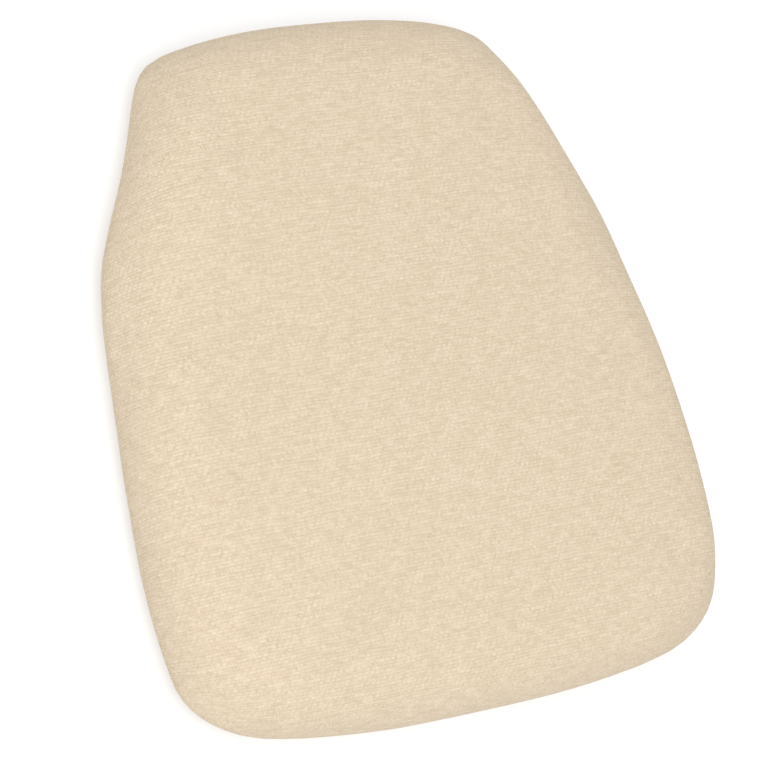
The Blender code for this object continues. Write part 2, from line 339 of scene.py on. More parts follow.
@dataclass(frozen=True)
class SpunBond:
    """Black spun-bonded cloth with rows of pressed bond points and loose fibres."""

    thread: Colour = (0.036, 0.036, 0.038)
    bond: Colour = (0.016, 0.016, 0.018)
    pitch: float = 1.6 * MM

    def material(self) -> bpy.types.Material:
        """Build the material.

        Returns:
            The material.
        """
        g = Graph("spun_bond")
        where = g.place()
        x, y, _ = g.axes(where)
        first = ((x + y) / self.pitch).fract() - 0.5
        second = ((x - y) / self.pitch).fract() - 0.5
        reach = (first * first + second * second).maths("SQRT")
        pressed = 1.0 - reach.smooth(0.16, 0.30)
        fibre = g.noise(g.vector(x * 0.35, y, 0.0), 2400.0, 4.0)
        cloud = g.noise(where, 120.0, 3.0)
        share = (pressed * 0.75 + (0.5 - cloud) * 0.5 + (0.5 - fibre) * 0.5).smooth(0.0, 1.0)
        height = (1.0 - pressed) * 0.8 + fibre * 0.4
        return g.finish(
            Base_Color=g.blend(share, self.thread, self.bond),
            Roughness=0.86 - pressed * 0.28,
            Normal=g.bump(height, 0.12 * MM, 0.9),
            Sheen_Weight=0.25,
            Sheen_Roughness=0.5,
        )


@dataclass(frozen=True)
class MouldedPlastic:
    """Plain nylon, a little uneven, for the hooks."""

    colour: Colour = (0.050, 0.046, 0.043)

    def material(self) -> bpy.types.Material:
        """Build the material.

        Returns:
            The material.
        """
        g = Graph("hook_nylon")
        grain = g.noise(g.place(), 1800.0, 2.0)
        darker = tuple(0.6 * part for part in self.colour)
        return g.finish(
            Base_Color=g.blend(grain, darker, self.colour),
            Roughness=0.34 + grain * 0.18,
            Normal=g.bump(grain, 0.02 * MM, 0.5),
        )


@dataclass(frozen=True)
class WovenTape:
    """Narrow woven nylon tape, for the backs of the hook strips, with painted shade in the dips of its
    weave.
    """

    light: Colour = (0.060, 0.055, 0.052)
    dark: Colour = (0.022, 0.020, 0.019)
    pitch: float = 0.7 * MM

    def material(self) -> bpy.types.Material:
        """Build the material.

        Returns:
            The material.
        """
        g = Graph("hook_tape")
        x, y, _ = g.axes(g.place())
        rib = (x / self.pitch).arch()
        pick = (y / self.pitch).arch()
        over = (((x / self.pitch).floor() + (y / self.pitch).floor()) / 2.0).fract().above(0.25)
        height = over * rib + (1.0 - over) * pick
        grain = g.noise(g.place(), 1500.0, 2.0)
        # Painted shade: the weave's height sets the colour, so the tape is darker in the dips between
        # ribs and picks. The grain term varies the tone at random.
        share = (height * 0.8 + (grain - 0.5) * 0.5).smooth(0.0, 1.0)
        return g.finish(
            Base_Color=g.blend(share, self.dark, self.light),
            Roughness=0.55 + grain * 0.2,
            Normal=g.bump(height + grain * 0.3, 0.12 * MM, 0.8),
        )


@dataclass(frozen=True)
class StapleWire:
    """Galvanised flat wire with drawing lines and dull spots."""

    bright: Colour = (0.66, 0.66, 0.65)
    dull: Colour = (0.42, 0.42, 0.43)

    def material(self) -> bpy.types.Material:
        """Build the material.

        Returns:
            The material.
        """
        g = Graph("staple_wire")
        where = g.place()
        spots = g.noise(where, 900.0, 3.0)
        lines = g.noise(g.vector(*[axis * 0.2 for axis in g.axes(where)[:2]]), 5200.0, 1.0)
        return g.finish(
            Base_Color=g.blend(spots.smooth(0.35, 0.7), self.bright, self.dull),
            Metallic=1.0,
            Roughness=0.26 + spots * 0.22,
            Normal=g.bump(lines, 0.01 * MM, 0.6),
        )


@dataclass(frozen=True)
class BirchPly:
    """Plywood: grain on the faces and dark glue lines between the veneers at the edges."""

    pale: Colour = (0.640, 0.470, 0.285)
    brown: Colour = (0.420, 0.270, 0.140)
    veneers: int = 7
    grain: float = 26.0

    def material(self) -> bpy.types.Material:
        """Build the material, with the veneers spread over the board's height.

        Returns:
            The material.
        """
        low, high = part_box(Layer.BOARD.value)
        g = Graph("birch_ply")
        x, y, z = g.axes(g.place())
        wander = g.noise(g.vector(x * 4.0, y * 0.5, 0.0), 6.0, 3.0)
        figure = (((x + wander * 0.06) * self.grain * 12.0).fract() - 0.5).maths("ABSOLUTE") * 2.0
        pores = g.noise(g.vector(x * 30.0, y * 1.2, z * 30.0), 60.0, 3.0)
        ply = (z - low[2]) / ((high[2] - low[2]) / self.veneers)
        crossed = (ply / 2.0).fract().above(0.5)
        glue = 1.0 - ply.arch().smooth(0.05, 0.30)
        share = 0.25 + figure * 0.25 + (pores - 0.5) * 0.5 + crossed * 0.18 + glue * 0.3
        return g.finish(
            Base_Color=g.blend(share.smooth(0.0, 1.0), self.pale, self.brown),
            Roughness=0.62 + pores * 0.2,
            Normal=g.bump(pores * 0.7 - glue * 0.3, 0.15 * MM, 0.6),
        )


@dataclass(frozen=True)
class CellFoam:
    """Open-cell foam, pale yellow, with pores at its cut faces, which are painted darker as shade in
    their hollows.
    """

    wall: Colour = (0.820, 0.740, 0.470)
    # Painted shade: the colour of the shade inside the open pores.
    pore_shade: Colour = (0.560, 0.470, 0.250)

    def material(self) -> bpy.types.Material:
        """Build the material.

        Returns:
            The material.
        """
        g = Graph("cell_foam")
        where = g.place()
        small = g.cells(where, 1500.0)
        large = g.cells(where, 520.0)
        # Painted shade: small and large pores are coloured towards the darker pore shade, as shade inside
        # the open cells. The cloud term varies the tone at random.
        pore_shade = (1.0 - small.smooth(0.05, 0.55)) * 0.7 + (1.0 - large.smooth(0.0, 0.35)) * 0.5
        cloud = g.noise(where, 40.0, 2.0)
        share = (pore_shade + (cloud - 0.5) * 0.3).smooth(0.0, 1.0)
        return g.finish(
            Base_Color=g.blend(share, self.wall, self.pore_shade),
            Roughness=0.93,
            Normal=g.bump(1.0 - pore_shade, 0.4 * MM, 0.8),
        )


@dataclass(frozen=True)
class FibreBatt:
    """White polyester fibre: long tangled strands in soft clouds, with painted shade in the gaps between
    strands.
    """

    strand: Colour = (0.86, 0.86, 0.84)
    # Painted shade: the colour of the shade between strands.
    gap_shade: Colour = (0.62, 0.62, 0.60)

    def material(self) -> bpy.types.Material:
        """Build the material.

        Returns:
            The material.
        """
        g = Graph("fibre_batt")
        where = g.place()
        x, y, z = g.axes(where)
        bend = (g.noise(where, 30.0, 2.0) - 0.5) * 0.04
        one = g.noise(g.vector((x + bend) * 0.12, y - bend, z), 1100.0, 3.0)
        two = g.noise(g.vector(x - bend, (y + bend) * 0.12, z), 1000.0, 3.0)
        strands = one.largest(two)
        cloud = g.noise(where, 45.0, 3.0)
        # Painted shade: away from the strands the colour falls towards the darker gap shade, as shade
        # between the fibres. The cloud term varies the tone at random.
        share = ((0.62 - strands) * 2.2 + (0.5 - cloud) * 0.6 + 0.3).smooth(0.0, 1.0)
        return g.finish(
            Base_Color=g.blend(share, self.strand, self.gap_shade),
            Roughness=0.95,
            Normal=g.bump(strands + cloud, 0.5 * MM, 0.7),
            Sheen_Weight=0.3,
        )


# ---------------------------------------------------------------- outline and profile


class Track:
    """A line through points in a plane, on which other points find their nearest place."""

    def __init__(self, points: np.ndarray, closed: bool) -> None:
        """Keep the line's points and a tree to search them with.

        Args:
            points: Corners of the line.
            closed: Whether the last corner joins the first.
        """
        self.points = points
        self.closed = closed
        self.tree = KDTree(len(points))
        for i, (x, y) in enumerate(points):
            self.tree.insert((x, y, 0.0), i)
        self.tree.balance()

    def nearest(self, spots: np.ndarray) -> tuple[np.ndarray, np.ndarray, np.ndarray]:
        """Find the nearest place on the line to each spot.

        Args:
            spots: points in the plane, as rows.

        Returns:
            The number of the line's point before each place, the share of the way from it to the
            next, and the place itself.
        """
        count = len(self.points)
        near = np.array([self.tree.find((x, y, 0.0))[1] for x, y in spots])
        found = []
        for step in (-1, 0):
            start = (near + step) % count if self.closed else np.clip(near + step, 0, count - 2)
            first, second = self.points[start], self.points[(start + 1) % count]
            along = second - first
            share = ((spots - first) * along).sum(axis=1) / (along * along).sum(axis=1)
            share = np.clip(share, 0.0, 1.0)
            foot = first + share[:, None] * along
            found.append((start, share, foot, np.hypot(*(spots - foot).T)))
        (start_a, share_a, foot_a, gap_a), (start_b, share_b, foot_b, gap_b) = found
        first = gap_a < gap_b
        start = np.where(first, start_a, start_b)
        share = np.where(first, share_a, share_b)
        return start, share, np.where(first[:, None], foot_a, foot_b)


class Outline:
    """The pad's plan outline at its fullest line, read from the cover's solid and smoothed."""

    NEAR = 2.5 * MM
    LEVEL = 0.05 * MM

    def __init__(self, count: int = 320) -> None:
        """Read the solid's ring of corners and lay evenly spaced points on a smooth loop.

        Args:
            count: Points on the smoothed ring.
        """
        corners = self._fullest_ring(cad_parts[Layer.COVER.value])
        self.points = self._smooth_loop(corners, count)
        self.normals = self.facing(self.points)
        self.track = Track(self.points, closed=True)

    def _fullest_ring(self, node: bpy.types.Object) -> np.ndarray:
        """The outermost corners of a solid at the height where it is widest, by their bearing.

        Args:
            node: The solid to read.

        Returns:
            Its corners in plan, in order of bearing.
        """
        raw = np.zeros(len(node.data.vertices) * 3, np.float32)
        node.data.vertices.foreach_get("co", raw)
        spots = np.unique(raw.reshape(-1, 3).astype(float).round(6), axis=0)
        self.height = float(spots[spots[:, 0].argmax(), 2])
        level = spots[abs(spots[:, 2] - self.height) < self.LEVEL][:, :2]
        radius = np.hypot(*level.T)
        apart = np.hypot(*(level[:, None] - level[None]).transpose(2, 0, 1))
        hidden = ((apart < self.NEAR) & (radius[None] > radius[:, None] + 0.2 * MM)).any(axis=1)
        ring = level[~hidden]
        return ring[np.arctan2(ring[:, 1], ring[:, 0]).argsort()]

    @staticmethod
    def _smooth_loop(corners: np.ndarray, count: int) -> np.ndarray:
        """Evenly spaced points on a smooth closed curve through the corners.

        Args:
            corners: Plan corners of a closed ring.
            count: Points to return.

        Returns:
            Evenly spaced points on the smoothed ring.
        """
        after = np.roll(corners, -1, axis=0) - corners
        length = np.hypot(*after.T)[:, None]
        slope = after / length
        before, before_length = np.roll(slope, 1, axis=0), np.roll(length, 1, axis=0)
        tangent = (before * length + slope * before_length) / (length + before_length)
        share = np.linspace(0, 1, 24, endpoint=False)[:, None, None]
        ahead, ahead_tangent = np.roll(corners, -1, axis=0), np.roll(tangent, -1, axis=0)
        curve = (
            (1 + 2 * share) * (1 - share) ** 2 * corners
            + share * (1 - share) ** 2 * length * tangent
            + share**2 * (3 - 2 * share) * ahead
            + share**2 * (share - 1) * length * ahead_tangent
        )
        fine = curve.transpose(1, 0, 2).reshape(-1, 2)
        closed = np.vstack([fine, fine[:1]])
        along = np.concatenate([[0], np.hypot(*np.diff(closed, axis=0).T).cumsum()])
        at = np.linspace(0, along[-1], count, endpoint=False)
        return np.column_stack([np.interp(at, along, closed[:, k]) for k in (0, 1)])

    @staticmethod
    def facing(points: np.ndarray) -> np.ndarray:
        """Unit normals that point out of an anticlockwise loop.

        Args:
            points: A closed ring in plan.

        Returns:
            Unit normals that face out of the ring.
        """
        along = np.roll(points, -1, axis=0) - np.roll(points, 1, axis=0)
        along /= np.hypot(*along.T)[:, None]
        return np.column_stack([along[:, 1], -along[:, 0]])

    def inset(self, distance: float) -> np.ndarray:
        """The outline drawn in by a distance, as points in plan."""
        return self.points - distance * self.normals

    def softened(self, reach: float) -> np.ndarray:
        """The outline with its turns spread over a reach along it, as points in plan.

        Args:
            reach: Length along the outline over which turns are spread.

        Returns:
            One row for each point.
        """
        step = np.hypot(*(self.points[1] - self.points[0]))
        turns = np.fft.fftfreq(len(self.points), step)
        kept = np.exp(-0.5 * (2 * math.pi * turns * reach) ** 2)
        plane = np.fft.ifft(np.fft.fft(self.points @ (1, 1j)) * kept)
        return np.column_stack([plane.real, plane.imag])

    def locate(self, plan: np.ndarray) -> tuple[np.ndarray, np.ndarray, np.ndarray]:
        """Place points in plan by the outline.

        Args:
            plan: the points, as rows.

        Returns:
            How far inside the outline each lies, its place along the outline counted in outline
            points, and the outline's normal there.
        """
        start, share, foot = self.track.nearest(plan)
        after = (start + 1) % len(self.points)
        normals = (1 - share[:, None]) * self.normals[start] + share[:, None] * self.normals[after]
        normals /= np.hypot(*normals.T)[:, None]
        offset = plan - foot
        side = -np.sign((offset * normals).sum(axis=1))
        return side * np.hypot(*offset.T), start + share, normals

    def bend(self) -> np.ndarray:
        """How sharply the outline turns at each point, in radians per metre, softened.

        Returns:
            One value for each point, positive where the outline bulges.
        """
        before = np.roll(self.normals, 3, axis=0)
        after = np.roll(self.normals, -3, axis=0)
        turn = before[:, 0] * after[:, 1] - before[:, 1] * after[:, 0]
        step = np.hypot(*(np.roll(self.points, -3, axis=0) - np.roll(self.points, 3, axis=0)).T)
        return turn / step


@dataclass
class Drape:
    """How the skin leaves even rings: crisp at the board's edge and rounder up its roll."""

    outline: Outline
    reach: float = 16.4 * MM
    crisp: float = 0.62
    rounder: float = 4.57
    shoulder_out: float = 2.6 * MM
    shoulder_in: float = 12.2 * MM
    shoulder_at: float = 60.6 * MM
    shoulder_length: float = 36.1 * MM
    side_from: float = 60.0 * MM

    def __post_init__(self) -> None:
        """Find the outline's turns and its shoulders, where the sides start to narrow."""
        self.turns = self.outline.points - self.outline.softened(self.reach)
        x, y = self.outline.points.T
        swell = np.exp(-0.5 * ((y - self.shoulder_at) / self.shoulder_length) ** 2)
        self.shoulder = swell * (abs(x) > self.side_from)

    def ring(self, inset: float, share: float) -> np.ndarray:
        """One ring of the skin in plan.

        Args:
            inset: how far it lies inside the draped outline.
            share: how far up the rolled edge it lies, from 0 at or below the fullest line to 1.

        Returns:
            Its points, one for each point of the outline.
        """
        turned = self.crisp - (self.rounder + self.crisp) * share
        push = self.shoulder_out * (1 - share) - self.shoulder_in * share
        outline = self.outline
        draped = outline.points + turned * self.turns
        draped += (push * self.shoulder)[:, None] * outline.normals
        return draped - inset * outline.facing(draped)


@dataclass
class Profile:
    """Heights of the pad's skin against the distance in from its outline, at a depth below it."""

    outline: Outline
    depth: float = 0.0
    fold_reach: float = 8.0 * MM
    roll_reach: float = 30.0 * MM
    crown_rise: float = 6.0 * MM
    crown_reach: float = 48.0 * MM
    low: float = field(init=False)
    high: float = field(init=False)
    fullest: float = field(init=False)

    def __post_init__(self) -> None:
        """Take the heights from the cover's solid."""
        low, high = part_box(Layer.COVER.value)
        self.low = low[2] + self.depth
        self.high = high[2] - self.depth
        self.fullest = self.outline.height

    def crown(self, inset: float) -> float:
        """Rise of the top at a distance in from the outline, above the plain rolled edge."""
        return self.crown_rise * (1 - math.exp(-max(inset, 0.0) / self.crown_reach))

    def top(self, inset: float) -> float:
        """Height of the top at a distance in from the outline.

        Args:
            inset: Distance in from the outline.

        Returns:
            The height.
        """
        share = min(max((inset - self.depth) / (self.roll_reach - self.depth), 0.0), 1.0)
        rise = self.high - self.crown_rise - self.fullest
        return self.fullest + rise * math.sqrt(1 - (1 - share) ** 2) + self.crown(inset)

    def roll(self, steps: int) -> list[tuple[float, float, float]]:
        """(inset, height, share) up the rolled edge, from the fullest line to the top.

        Args:
            steps: Number of steps up the roll.

        Returns:
            One row for each ring, from the lowest up.
        """
        reach = self.roll_reach - self.depth
        angles = [math.pi / 2 * i / steps for i in range(steps + 1)]
        insets = [self.roll_reach - reach * math.cos(a) for a in angles]
        return [(inset, self.top(inset), math.sin(a)) for inset, a in zip(insets, angles)]

    def fold(self, steps: int) -> list[tuple[float, float, float]]:
        """(inset, height, 0) up the underside fold, from its low edge to below the fullest line.

        Args:
            steps: Number of steps up the fold.

        Returns:
            One row for each ring, from the lowest up.
        """
        reach = self.fold_reach - self.depth
        drop = self.fullest - self.low
        angles = [math.pi / 2 * (steps - i) / steps for i in range(steps)]
        return [
            (self.fold_reach - reach * math.cos(a), self.fullest - drop * math.sin(a), 0.0)
            for a in angles
        ]

    def path(self) -> np.ndarray:
        """(inset, height, extra length) from the top's roll down and in under the pad.

        Returns:
            Rows whose extra length is how much further cloth has to run than it does in plan.
        """
        rows = [row[:2] for row in (*reversed(self.roll(40)), *reversed(self.fold(24)))]
        rows += [(self.fold_reach + 2 * MM * i, self.low) for i in range(1, 15)]
        track = np.array(rows)
        run = np.concatenate([[0], np.hypot(*np.diff(track, axis=0).T).cumsum()])
        return np.column_stack([track, run - (self.roll_reach - track[:, 0])])


class Shapes:
    """Small helpers that make and dress mesh objects."""

    @staticmethod
    def new(name: str, points: np.ndarray, faces: Iterable[Sequence[int]]) -> bpy.types.Object:
        """A new mesh object at the origin, from points and faces, shaded smooth.

        Args:
            name: Name of the mesh and the object.
            points: Its points.
            faces: Point numbers of each face.

        Returns:
            The new object, linked to the scene.
        """
        data = bpy.data.meshes.new(name)
        data.from_pydata([tuple(map(float, p)) for p in points], [], [tuple(f) for f in faces])
        data.update()
        data.shade_smooth()
        made = bpy.data.objects.new(name, data)
        bpy.context.scene.collection.objects.link(made)
        return made

    @staticmethod
    def coordinates(mesh: bpy.types.Mesh) -> np.ndarray:
        """All the mesh's points as rows.

        Args:
            mesh: The mesh to read.

        Returns:
            One row for each point.
        """
        flat = np.zeros(len(mesh.vertices) * 3, np.float32)
        mesh.vertices.foreach_get("co", flat)
        return flat.reshape(-1, 3).astype(float)

    @staticmethod
    def move(mesh: bpy.types.Mesh, points: np.ndarray) -> None:
        """Put the mesh's points at new places."""
        mesh.vertices.foreach_set("co", points.astype(np.float32).ravel())
        mesh.update()

    @staticmethod
    def bake(source: bpy.types.Object, name: str) -> bpy.types.Object:
        """A plain mesh object of a piece as its modifiers leave it; the source is removed.

        Args:
            source: Object with live modifiers, which is removed.
            name: Name of the result.

        Returns:
            A plain mesh object.
        """
        bpy.context.view_layer.update()
        evaluated = source.evaluated_get(bpy.context.evaluated_depsgraph_get())
        data = bpy.data.meshes.new_from_object(evaluated)
        bpy.data.objects.remove(source, do_unlink=True)
        made = bpy.data.objects.new(name, data)
        data.name = name
        bpy.context.scene.collection.objects.link(made)
        return made

    @staticmethod
    def outward(made: bpy.types.Object) -> None:
        """Turn all faces of a closed piece outwards.

        Args:
            made: A closed object.
        """
        mesh = bmesh.new()
        mesh.from_mesh(made.data)
        bmesh.ops.recalc_face_normals(mesh, faces=mesh.faces)
        mesh.to_mesh(made.data)
        mesh.free()

    @staticmethod
    def stack(loops: Sequence[np.ndarray]) -> tuple[np.ndarray, list[tuple[int, ...]]]:
        """Points and side faces of a form through equal loops, each loop above the last.

        Args:
            loops: Rings with equal numbers of points.

        Returns:
            Points, and the faces between neighbouring rings.
        """
        count = len(loops[0])
        faces = []
        for row in range(len(loops) - 1):
            for i in range(count):
                j = (i + 1) % count
                a, b = row * count, (row + 1) * count
                faces.append((a + i, a + j, b + j, b + i))
        return np.vstack(loops), faces


@dataclass
class PadForm:
    """Closed smooth forms that follow the pad's skin at a depth."""

    drape: Drape
    roll_steps: int = 14
    fold_steps: int = 8
    top_shares: int = 26

    def loops(self, profile: Profile, side: list[tuple[float, float, float]]) -> list[np.ndarray]:
        """Loops up a form's side and over its top, without the middle point.

        Args:
            profile: the skin that the top follows.
            side: (inset, height, share of the rolled edge) of each loop up the side.

        Returns:
            The loops' points, from below upwards.
        """
        made = []
        for inset, height, share in side:
            plan = self.drape.ring(inset, share)
            made.append(np.column_stack([plan, np.full(len(plan), height)]))
        edge = self.drape.ring(profile.roll_reach, 1.0)
        away = np.hypot(*edge.T)
        for i in range(1, self.top_shares):
            share = i / self.top_shares
            heights = [profile.top(profile.roll_reach + share * run) for run in away]
            made.append(np.column_stack([edge * (1 - share), heights]))
        return made

    def closed(self, name: str, profile: Profile, low: float, upright: bool) -> bpy.types.Object:
        """A closed solid under the skin at the profile's depth.

        Args:
            name: the object's name.
            profile: the skin that it follows.
            low: height of its flat underside.
            upright: whether its sides stand upright below the fullest line.

        Returns:
            The object, with outward faces.
        """
        side = [(profile.depth, low, 0.0)] if upright else profile.fold(self.fold_steps)
        loops = self.loops(profile, side + profile.roll(self.roll_steps))
        floor = [np.column_stack([loops[0][:, :2] * (i / 12), loops[0][:, 2]]) for i in range(1, 12)]
        points, faces = Shapes.stack([*floor, *loops])
        count = len(loops[0])
        bottom, top = len(points), len(points) + 1
        last = len(points) - count
        middle = loops[-1][:, 2].max()
        points = np.vstack([points, (0.0, 0.0, low), (0.0, 0.0, middle)])
        for i in range(count):
            j = (i + 1) % count
            faces.append((bottom, j, i))
            faces.append((last + i, last + j, top))
        made = Shapes.new(name, points, faces)
        Shapes.outward(made)
        return made


# ---------------------------------------------------------------- pieces


@dataclass
class Cover:
    """The woven cover: padded, drawn over the pad and turned in under the board."""

    outline: Outline
    voxel: float = 4.6 * MM
    thickness: float = 1.2 * MM
    pressure: float = 4.0
    frames: int = 20
    swell: float = 1.3 * MM
    sink: float = 0.25 * MM
    hem_width: float = 26.0 * MM
    pleat_pitch: float = 7.5 * MM
    pleat_depth: float = 0.9 * MM
    pleat_height: float = 9.0 * MM
    corner_bend: float = 9.0

    def build(self) -> bpy.types.Object:
        """Make the cover and return it.

        Returns:
            The cover, as one closed piece.
        """
        profile = Profile(self.outline)
        form = PadForm(Drape(self.outline)).closed("cover_form", profile, profile.low, upright=False)
        skin = self._even(form)
        rest = Shapes.coordinates(skin.data)
        normals = np.array([vertex.normal[:] for vertex in skin.data.vertices])
        self._settle(skin, profile)
        Shapes.move(skin.data, self._held(rest, Shapes.coordinates(skin.data), normals))
        self._refine(skin)
        Shapes.move(skin.data, self._pleated(Shapes.coordinates(skin.data), profile))
        self._open_underside(skin, profile)
        cloth = self._thicken(skin)
        self._lay_out(cloth, profile)
        cloth.data.materials.append(WovenCloth().material())
        return cloth

    def _even(self, form: bpy.types.Object) -> bpy.types.Object:
        """The form with an even mesh that still lies on its surface.

        Args:
            form: The closed form of the pad.

        Returns:
            The even skin.
        """
        copy = bpy.data.objects.new("cover_copy", form.data.copy())
        bpy.context.scene.collection.objects.link(copy)
        remesh = copy.modifiers.new("even", "REMESH")
        remesh.mode = "VOXEL"
        remesh.voxel_size = self.voxel
        remesh.use_smooth_shade = True
        soften = copy.modifiers.new("soften", "SMOOTH")
        soften.factor = 0.5
        soften.iterations = 4
        lay = copy.modifiers.new("lay", "SHRINKWRAP")
        lay.target = form
        skin = Shapes.bake(copy, "cover_skin")
        bpy.data.objects.remove(form, do_unlink=True)
        return skin

    def _settle(self, skin: bpy.types.Object, profile: Profile) -> None:
        """Let the cloth find its shape under a light pressure from inside.

        Args:
            skin: The skin, whose points are moved.
            profile: Heights of the pad.
        """
        points = Shapes.coordinates(skin.data)
        pins = skin.vertex_groups.new(name="stapled")
        under = points[:, 2] < profile.low + 2 * MM
        pins.add([int(i) for i in np.flatnonzero(under)], 1.0, "REPLACE")
        cloth = skin.modifiers.new("cloth", "CLOTH")
        settings = cloth.settings
        settings.quality = 6
        settings.mass = 0.35
        settings.tension_stiffness = 22.0
        settings.compression_stiffness = 22.0
        settings.shear_stiffness = 8.0
        settings.bending_stiffness = 1.2
        settings.use_pressure = True
        settings.uniform_pressure_force = self.pressure
        settings.vertex_group_mass = pins.name
        settings.effector_weights.gravity = 0.0
        scene = bpy.context.scene
        cloth.point_cache.frame_start, cloth.point_cache.frame_end = 1, self.frames
        for number in range(1, self.frames + 1):
            scene.frame_set(number)
        evaluated = skin.evaluated_get(bpy.context.evaluated_depsgraph_get())
        settled = Shapes.coordinates(evaluated.data)
        skin.modifiers.remove(cloth)
        Shapes.move(skin.data, settled)
        scene.frame_set(1)

    def _held(self, rest: np.ndarray, settled: np.ndarray, normals: np.ndarray) -> np.ndarray:
        """Hold the settled cloth to what the tight filling under it allows.

        Args:
            rest: the points before the cloth settled.
            settled: the points after it.
            normals: the skin's unit normals at rest.

        Returns:
            The points, moved only along their normals, less than the swell out and the sink in.
        """
        out = ((settled - rest) * normals).sum(axis=1)
        limit = np.where(out > 0, self.swell, self.sink)
        return rest + (limit * np.tanh(out / limit))[:, None] * normals

    def _refine(self, skin: bpy.types.Object) -> None:
        """Subdivide the skin once.

        Args:
            skin: The skin, which is subdivided.
        """
        finer = skin.modifiers.new("finer", "SUBSURF")
        finer.levels = finer.render_levels = 1
        evaluated = skin.evaluated_get(bpy.context.evaluated_depsgraph_get())
        data = bpy.data.meshes.new_from_object(evaluated)
        skin.modifiers.remove(finer)
        skin.data = data

    def _pleated(self, points: np.ndarray, profile: Profile) -> np.ndarray:
        """Gathers of the hem where the outline turns: small folds across the lower edge.

        Args:
            points: The skin's points.
            profile: Heights of the pad.

        Returns:
            The moved points.
        """
        low = np.flatnonzero(points[:, 2] < profile.low + self.pleat_height)
        inset, place, normals = self.outline.locate(points[low, :2])
        bend = np.clip(self.outline.bend() / self.corner_bend - 0.6, 0, 1)
        bend = np.interp(place, np.arange(len(bend) + 1), np.append(bend, bend[0]))
        pitch = np.hypot(*(self.outline.points[1] - self.outline.points[0]))
        fade = (1 - (points[low, 2] - profile.low) / self.pleat_height) ** 2
        fade *= inset < profile.fold_reach + self.hem_width
        wave = 0.5 - 0.5 * np.cos(2 * math.pi * place * pitch / self.pleat_pitch)
        under = np.clip((inset - 2 * MM) / profile.fold_reach, 0.0, 1.0)
        push = self.pleat_depth * bend * fade * wave * (1 - under)
        made = points.copy()
        made[low, :2] -= normals * push[:, None]
        return made

    def _open_underside(self, skin: bpy.types.Object, profile: Profile) -> None:
        """Cut away the underside inside the hem and trim the hem's edge to a smooth line.

        Args:
            skin: The skin, which loses its underside.
            profile: Heights of the pad.
        """
        edge = profile.fold_reach + self.hem_width
        mesh = bmesh.new()
        mesh.from_mesh(skin.data)
        centres = np.array([face.calc_center_median()[:] for face in mesh.faces])
        inset, _, _ = self.outline.locate(centres[:, :2])
        inner = (inset > edge) & (centres[:, 2] < profile.low + 6 * MM)
        doomed = [face for face, gone in zip(list(mesh.faces), inner) if gone]
        bmesh.ops.delete(mesh, geom=doomed, context="FACES")
        rim = [vertex for vertex in mesh.verts if vertex.is_boundary]
        spots = np.array([vertex.co[:] for vertex in rim])
        inset, _, normals = self.outline.locate(spots[:, :2])
        spots[:, :2] += (inset - edge)[:, None] * normals
        for vertex, spot in zip(rim, spots):
            vertex.co = spot
        mesh.to_mesh(skin.data)
        mesh.free()

    def _thicken(self, skin: bpy.types.Object) -> bpy.types.Object:
        """Give the cloth its thickness, inwards.

        Args:
            skin: The open skin.

        Returns:
            The thickened cloth.
        """
        wall = skin.modifiers.new("wall", "SOLIDIFY")
        wall.thickness = self.thickness
        wall.offset = -1.0
        wall.use_even_offset = False
        return Shapes.bake(skin, "woven_cover")

    def _lay_out(self, cloth: bpy.types.Object, profile: Profile) -> None:
        """Write the map that the weave follows: plan on top, and unrolled down the sides.

        Args:
            cloth: The finished cloth.
            profile: Heights of the pad.
        """
        path = profile.path()
        points = Shapes.coordinates(cloth.data)
        inset, _, normals = self.outline.locate(points[:, :2])
        side = (inset < profile.roll_reach) | (points[:, 2] < profile.fullest)
        section = np.column_stack([inset, points[:, 2]])[side]
        start, share, _ = Track(path[:, :2], closed=False).nearest(section)
        extra = np.zeros(len(points))
        extra[side] = (1 - share) * path[start, 2] + share * path[start + 1, 2]
        flat = points[:, :2] + normals * extra[:, None]
        corners = np.zeros(len(cloth.data.loops), np.int32)
        cloth.data.loops.foreach_get("vertex_index", corners)
        layer = cloth.data.uv_layers.new(name=WovenCloth().map_name)
        layer.data.foreach_set("uv", flat[corners].astype(np.float32).ravel())


